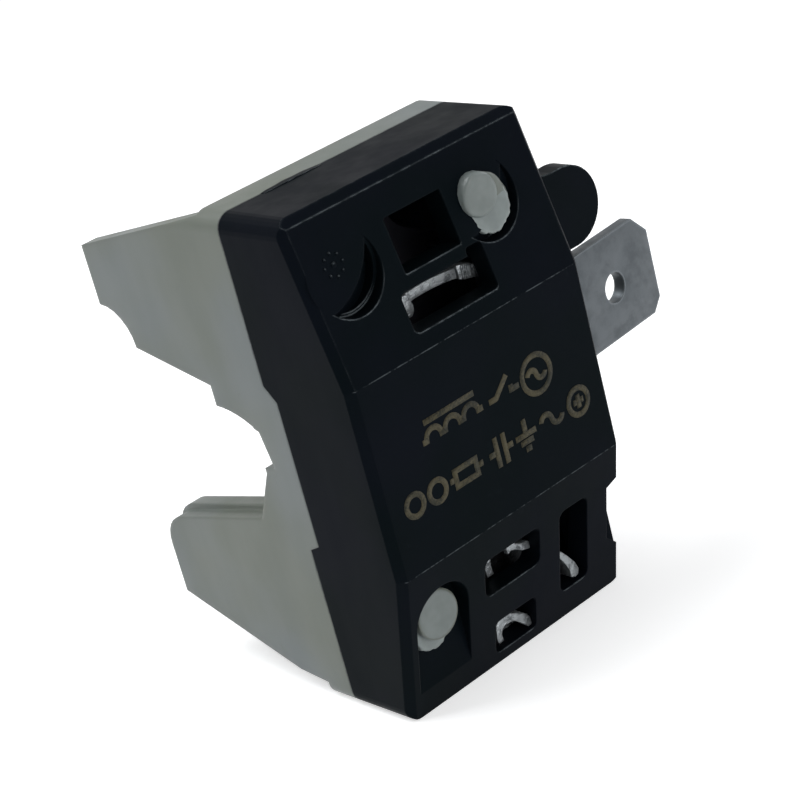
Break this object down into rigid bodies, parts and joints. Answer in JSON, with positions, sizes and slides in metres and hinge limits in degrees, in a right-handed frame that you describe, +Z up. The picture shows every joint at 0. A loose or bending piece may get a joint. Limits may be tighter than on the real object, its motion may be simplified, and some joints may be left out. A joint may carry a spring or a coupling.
{
  "type": "compressor start relay",
  "caption": "Plug-in current start relay: black clamped cover, pale nylon body with a side wing, pin sockets, coil, lifting plunger with contact bridge, and a push-on blade.",
  "frame": {"origin": "on the bottom face, at mid width, on the parting plane between cover and body", "axes": "+X to the side with the blade terminal, +Y from the marked cover to the pin sockets, +Z up along the plunger's lift"},
  "size_m": [0.0272, 0.0217, 0.0301],
  "materials": {
    "black_moulding": "satin moulded",
    "natural_nylon": "satin moulded",
    "bobbin_nylon": "satin moulded",
    "enamelled_copper": "enamelled",
    "dark_tape": "taped",
    "black_rubber": "matt",
    "plunger_steel": "turned",
    "rod_brass": "turned",
    "spring_steel": "drawn",
    "bridge_copper": "stamped",
    "contact_silver": "coined",
    "tinned_brass": "tinned, stamped",
    "clip_brass": "stamped"
  },
  "bodies": {
    "housing": {"front_cover": "black_moulding", "rear_body": "natural_nylon", "coil_bobbin": "bobbin_nylon", "coil_winding": "enamelled_copper", "coil_wrap": "dark_tape", "guide_plate": "bobbin_nylon", "buffer_pad": "black_rubber", "line_terminal": "tinned_brass", "line_contact": "contact_silver", "start_strip": "tinned_brass", "start_contact": "contact_silver", "start_pin_clip": "clip_brass", "start_rivet": "rod_brass", "run_strap": "tinned_brass", "run_pin_clip": "clip_brass", "run_rivet": "rod_brass", "line_lead": "enamelled_copper", "run_lead": "enamelled_copper"},
    "armature": {"plunger": "plunger_steel", "push_rod": "rod_brass", "spring_collar": "rod_brass", "rod_clip": "spring_steel", "contact_spring": "spring_steel"},
    "bridge": {"contact_bridge": "bridge_copper", "bridge_contacts": "contact_silver"}
  },
  "joints": [
    {"name": "plunger_lift", "type": "slide", "parent": "housing", "child": "armature", "axis": [0, 0, 1], "range_m": [0, 0.003]},
    {"name": "bridge_slide", "type": "slide", "parent": "armature", "child": "bridge", "axis": [0, 0, -1], "range_m": [0, 0.0008], "deforming": ["contact_spring"]}
  ],
  "couplings": [
    {"joint": "bridge_slide", "follows": "plunger_lift", "ratio": 0.26666}
  ]
}
